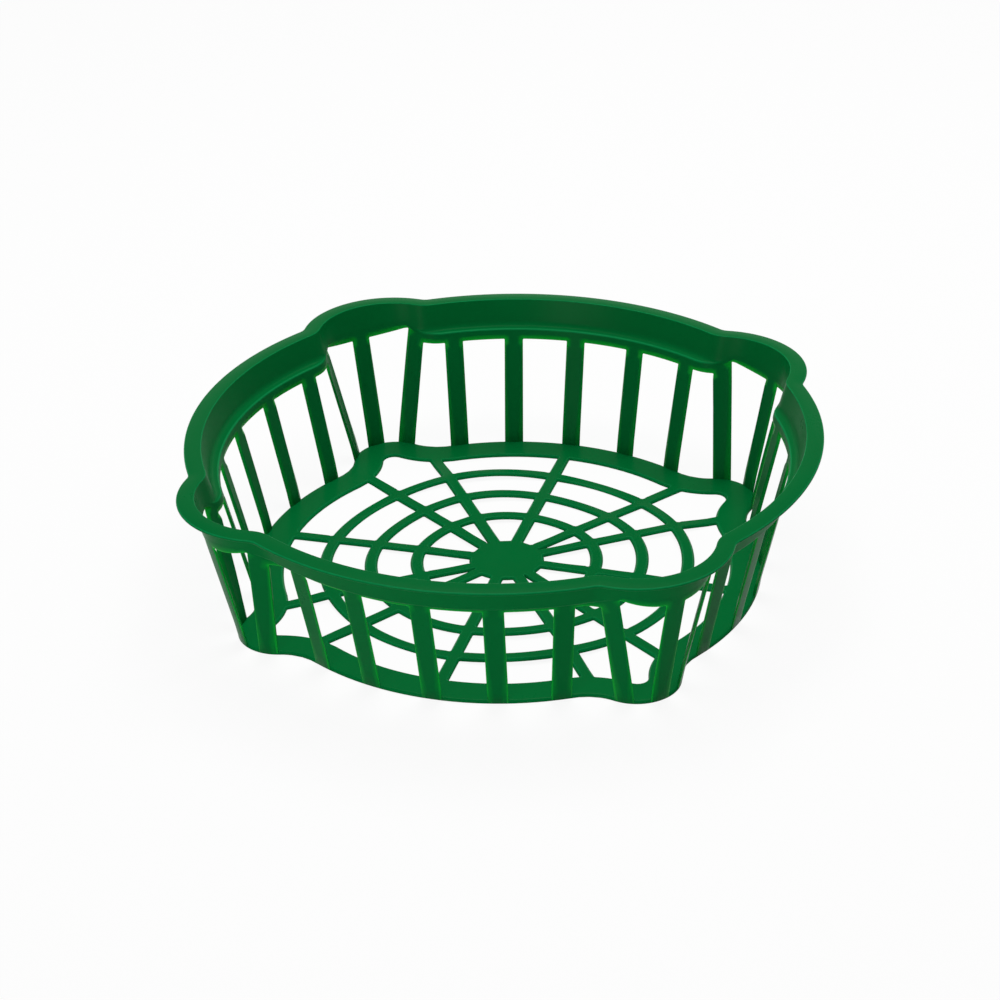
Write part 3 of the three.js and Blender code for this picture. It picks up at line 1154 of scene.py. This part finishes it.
    def build(self, material: bpy.types.Material) -> bpy.types.Object:
        """Makes the floor.

        Args:
            material: Its finish.

        Returns:
            The object.
        """
        shell = Shell("basket_floor", self.replaced_nodes())
        spokes = self.spokes()
        for left, right in zip(spokes[:-1], spokes[1:]):
            for row in range(len(self.rings) + 1):
                grid, light = self.opening_grid(left, right, row)
                shell.add_grid(self.domed(grid), light)
            shell.add_grid(self.domed(self.border_grid(left, right)))
            for height in (self.thickness, 0.0):
                shell.add_grid(self.domed(self.hub_grid(left, right, height)))
        return shell.build(material)


# ---------------------------------------------------------------- materials


class Wire:
    """A socket of a node tree; sums on wires add Math nodes."""

    def __init__(self, graph: "Graph", socket: bpy.types.NodeSocket | None) -> None:
        """Keeps the socket and the graph that it is in."""
        self.graph = graph
        self.socket = socket

    def _math(self, operation: str, first: object, second: object) -> "Wire":
        """Adds a Math node for two operands, each a wire or a number."""
        return self.graph.node("ShaderNodeMath", {"operation": operation}, {0: first, 1: second})

    def __add__(self, other: object) -> "Wire":
        """self + other."""
        return self._math("ADD", self, other)

    def __radd__(self, other: object) -> "Wire":
        """other + self."""
        return self._math("ADD", other, self)

    def __sub__(self, other: object) -> "Wire":
        """self - other."""
        return self._math("SUBTRACT", self, other)

    def __rsub__(self, other: object) -> "Wire":
        """other - self."""
        return self._math("SUBTRACT", other, self)

    def __mul__(self, other: object) -> "Wire":
        """self * other."""
        return self._math("MULTIPLY", self, other)

    def __rmul__(self, other: object) -> "Wire":
        """other * self."""
        return self._math("MULTIPLY", other, self)

    def at_least(self, other: object) -> "Wire":
        """The larger of self and other."""
        return self._math("MAXIMUM", self, other)


class Graph:
    """A node tree of a material or the world, built from expressions."""

    def __init__(self, tree: bpy.types.NodeTree) -> None:
        """Starts from an empty tree."""
        self.tree = tree
        tree.nodes.clear()

    def node(self, kind: str, settings: dict[str, object] | None = None,
             inputs: dict[object, object] | None = None, output: object = 0) -> Wire:
        """Adds any node.

        Args:
            kind: The node's type.
            settings: Properties, which are set first.
            inputs: Values or wires for its sockets, by name or number.
            output: The output socket to return, by name or number.

        Returns:
            A wire from that output.
        """
        made = self.tree.nodes.new(kind)
        for name, value in (settings or {}).items():
            setattr(made, name, value)
        for key, value in (inputs or {}).items():
            if isinstance(value, Wire):
                self.tree.links.new(value.socket, made.inputs[key])
            else:
                made.inputs[key].default_value = value
        return Wire(self, made.outputs[output] if len(made.outputs) else None)

    def blend(self, share: object, low: object, high: object) -> Wire:
        """Mixes two colours by a share."""
        return self.node("ShaderNodeMix", {"data_type": "RGBA"}, {0: share, 6: low, 7: high}, 2)


def linear(red: int, green: int, blue: int) -> Colour:
    """A display colour of 0 to 255 as the linear colour that a shader takes."""
    parts = [value / 255 for value in (red, green, blue)]
    return (*(p / 12.92 if p <= 0.04045 else ((p + 0.055) / 1.055) ** 2.4 for p in parts), 1.0)


WHITE: Colour = (1.0, 1.0, 1.0, 1.0)


@dataclass(frozen=True)
class GreenPlastic:
    """Satin moulded polypropylene: even green, lighter where a thin edge lets light through.

    A noise is a scale and a detail. A highlight share is the share of the painted highlight colour
    that a rounded edge gets, and what the clouds add to it.
    """

    body: Colour = linear(0, 105, 49)
    cloud: Colour = linear(0, 99, 45)
    glow: Colour = linear(14, 182, 50)
    # Pale colour of the painted highlights on rounded edges.
    painted_highlight: Colour = linear(20, 152, 88)
    cloud_noise: tuple[float, float] = (38.0, 3.0)
    grain_noise: tuple[float, float] = (900.0, 2.0)
    glow_share: float = 0.85
    highlight_share: tuple[float, float] = (0.6, 0.8)
    roughness: float = 0.3
    cloud_roughness: float = 0.12
    grain_roughness: float = 0.06
    grain_bump: float = 0.08
    grain_depth: float = 0.0002
    specular: float = 0.02

    def material(self) -> bpy.types.Material:
        """Builds the material.

        Returns:
            The material: clouds between two greens, painted glow and painted highlights by the edge
                attribute, and a grain.
        """
        made = bpy.data.materials.new("green_plastic_finish")
        made.use_nodes = True
        graph = Graph(made.node_tree)
        place = graph.node("ShaderNodeTexCoord", output="Object")
        cloud, grain = (
            graph.node("ShaderNodeTexNoise", {}, {"Vector": place, "Scale": scale, "Detail": detail}, "Fac")
            for scale, detail in (self.cloud_noise, self.grain_noise)
        )
        edge = graph.node("ShaderNodeAttribute", {"attribute_name": EDGE_LIGHT}, output="Fac")
        # Below 0 the edge attribute paints a pale highlight, with more where the clouds are; above 0 it
        # paints the glow of thin edges.
        highlight = (0.0 - edge).at_least(0.0) * (self.highlight_share[0] + self.highlight_share[1] * cloud)
        colour = graph.blend(cloud, self.body, self.cloud)
        colour = graph.blend(edge.at_least(0.0) * self.glow_share, colour, self.glow)
        colour = graph.blend(highlight, colour, self.painted_highlight)
        clouded = self.roughness + (cloud - 0.5) * self.cloud_roughness
        rough = clouded + (grain - 0.5) * self.grain_roughness
        bump = graph.node("ShaderNodeBump", {}, {
            "Strength": self.grain_bump, "Distance": self.grain_depth, "Height": grain,
        })
        shader = graph.node("ShaderNodeBsdfPrincipled", {}, {
            "Base Color": colour, "Roughness": rough, "Normal": bump,
            "Specular IOR Level": self.specular,
        })
        graph.node("ShaderNodeOutputMaterial", {}, {"Surface": shader})
        return made


# ---------------------------------------------------------------- studio and camera


@dataclass(frozen=True)
class Softbox:
    """A square soft lamp, in metres and watts."""

    name: str
    place: tuple[float, float, float]
    size: float
    power: float
    aim: tuple[float, float, float] = (0.0, 0.0, 0.03)

    def build(self) -> None:
        """Makes the lamp and aims it at the basket."""
        lamp = bpy.data.lights.new(self.name, "AREA")
        lamp.shape = "SQUARE"
        lamp.size = self.size
        lamp.energy = self.power
        holder = bpy.data.objects.new(self.name, lamp)
        holder.location = self.place
        way = Vector(self.aim) - Vector(self.place)
        holder.rotation_euler = way.to_track_quat("-Z", "Y").to_euler()
        bpy.context.scene.collection.objects.link(holder)


@dataclass(frozen=True)
class Studio:
    """A pale floor under a white sky, and soft lamps."""

    sky: float = 0.18
    wall_top: tuple[float, float] = (0.34, 0.5)
    floor_tone: float = 0.86
    floor_half: float = 5.0
    floor_drop: float = 0.0002
    camera_white: float = 0.92
    lamps: tuple[Softbox, ...] = (
        Softbox("overhead_softbox", (0.0, 0.32, 1.12), 0.85, 12.5),
        Softbox("front_softbox", (-0.3, -1.3, 0.14), 0.5, 7.0),
    )

    def build(self) -> None:
        """Makes the world, the floor and the lamps."""
        self._world()
        self._floor()
        for lamp in self.lamps:
            lamp.build()

    def _seen(self, graph: Graph) -> Wire:
        """1 for rays that see the background: from the camera, a reflection or clear plastic."""
        camera, glossy, clear = (
            graph.node("ShaderNodeLightPath", output=f"Is {kind} Ray")
            for kind in ("Camera", "Glossy", "Transmission")
        )
        return camera.at_least(glossy).at_least(clear)

    def _world(self) -> None:
        """White to the camera, and an even sky that lights the object."""
        world = bpy.data.worlds.new("studio_sky")
        bpy.context.scene.world = world
        world.use_nodes = True
        graph = Graph(world.node_tree)
        view = graph.node("ShaderNodeTexCoord", output="Generated")
        height = graph.node("ShaderNodeSeparateXYZ", {}, {0: view}, "Z")
        low = graph.node("ShaderNodeMapRange", {"interpolation_type": "SMOOTHSTEP"}, {
            "Value": height, "From Min": self.wall_top[0], "From Max": self.wall_top[1],
            "To Min": 1.0, "To Max": 0.0,
        })
        camera = graph.node("ShaderNodeLightPath", output="Is Camera Ray")
        shown = camera.at_least(self._seen(graph) * low)
        strength = self.sky + shown * (1.0 - self.sky)
        light = graph.node("ShaderNodeBackground", {}, {"Color": WHITE, "Strength": strength})
        graph.node("ShaderNodeOutputWorld", {}, {"Surface": light})

    def _floor(self) -> None:
        """A flat pale sheet; to the camera it is mostly white, with the shadow still on it."""
        half, level = self.floor_half, -self.floor_drop
        mesh = bpy.data.meshes.new("studio_floor")
        corners = [(x * half, y * half, level) for x, y in ((-1, -1), (1, -1), (1, 1), (-1, 1))]
        mesh.from_pydata(corners, [], [(0, 1, 2, 3)])
        floor = bpy.data.objects.new("studio_floor", mesh)
        bpy.context.scene.collection.objects.link(floor)
        made = bpy.data.materials.new("pale_floor")
        made.use_nodes = True
        graph = Graph(made.node_tree)
        matt = graph.node("ShaderNodeBsdfDiffuse", {}, {"Color": (*(self.floor_tone,) * 3, 1.0)})
        white = graph.node("ShaderNodeEmission", {}, {"Color": WHITE, "Strength": 1.0})
        share = self._seen(graph) * self.camera_white
        shown = graph.node("ShaderNodeMixShader", {}, {0: share, 1: matt, 2: white})
        graph.node("ShaderNodeOutputMaterial", {}, {"Surface": shown})
        mesh.materials.append(made)


@dataclass(frozen=True)
class PhotoCamera:
    """The camera at the photograph's angle, worked out from the rim, the rings and the spokes.

    hub_pixel is where the middle of the hub's top lies in an image of 1000 by 1000, and
    pixels_per_mm is the scale there. clip is in metres.
    """

    elevation: float = 29.2915
    turn: float = -16.6677
    roll: float = 1.4751
    distance: float = 1143.3
    pixels_per_mm: float = 2.4
    hub_pixel: tuple[float, float] = (506.72, 560.26)
    hub_top: float = 1.4
    image: float = 1000.0
    sensor: float = 36.0
    clip: tuple[float, float] = (0.01, 50.0)

    def build(self) -> None:
        """Makes the camera and gives it to the scene."""
        turn, tilt, roll = (math.radians(a) for a in (self.turn, self.elevation, self.roll))
        across = Vector((math.cos(turn), -math.sin(turn), 0.0))
        away = Vector((math.sin(turn), math.cos(turn), 0.0))
        upright = away * math.sin(tilt) + Vector((0.0, 0.0, math.cos(tilt)))
        forward = away * math.cos(tilt) - Vector((0.0, 0.0, math.sin(tilt)))
        right = across * math.cos(roll) - upright * math.sin(roll)
        up = across * math.sin(roll) + upright * math.cos(roll)
        aside = (self.hub_pixel[0] - self.image / 2) / self.pixels_per_mm
        above = (self.image / 2 - self.hub_pixel[1]) / self.pixels_per_mm
        hub = Vector((0.0, 0.0, self.hub_top))
        place = hub - right * aside - up * above - forward * self.distance
        lens = bpy.data.cameras.new("photo_camera")
        lens.sensor_width = self.sensor
        lens.lens = self.pixels_per_mm * self.distance / self.image * self.sensor
        lens.clip_start, lens.clip_end = self.clip
        holder = bpy.data.objects.new("photo_camera", lens)
        facing = Matrix((right, up, -forward)).transposed().to_4x4()
        holder.matrix_world = Matrix.Translation(place * MM) @ facing
        bpy.context.scene.collection.objects.link(holder)
        bpy.context.scene.camera = holder


def main() -> None:
    """Builds the camera, the studio and the basket."""
    bpy.context.scene.view_settings.view_transform = "Standard"
    PhotoCamera().build()
    Studio().build()
    plastic = GreenPlastic().material()
    for part in (BasketWall(), BasketFloor()):
        piece = part.build(plastic)
        log.info("made %s", piece.name)


if __name__ == "__main__":
    main()
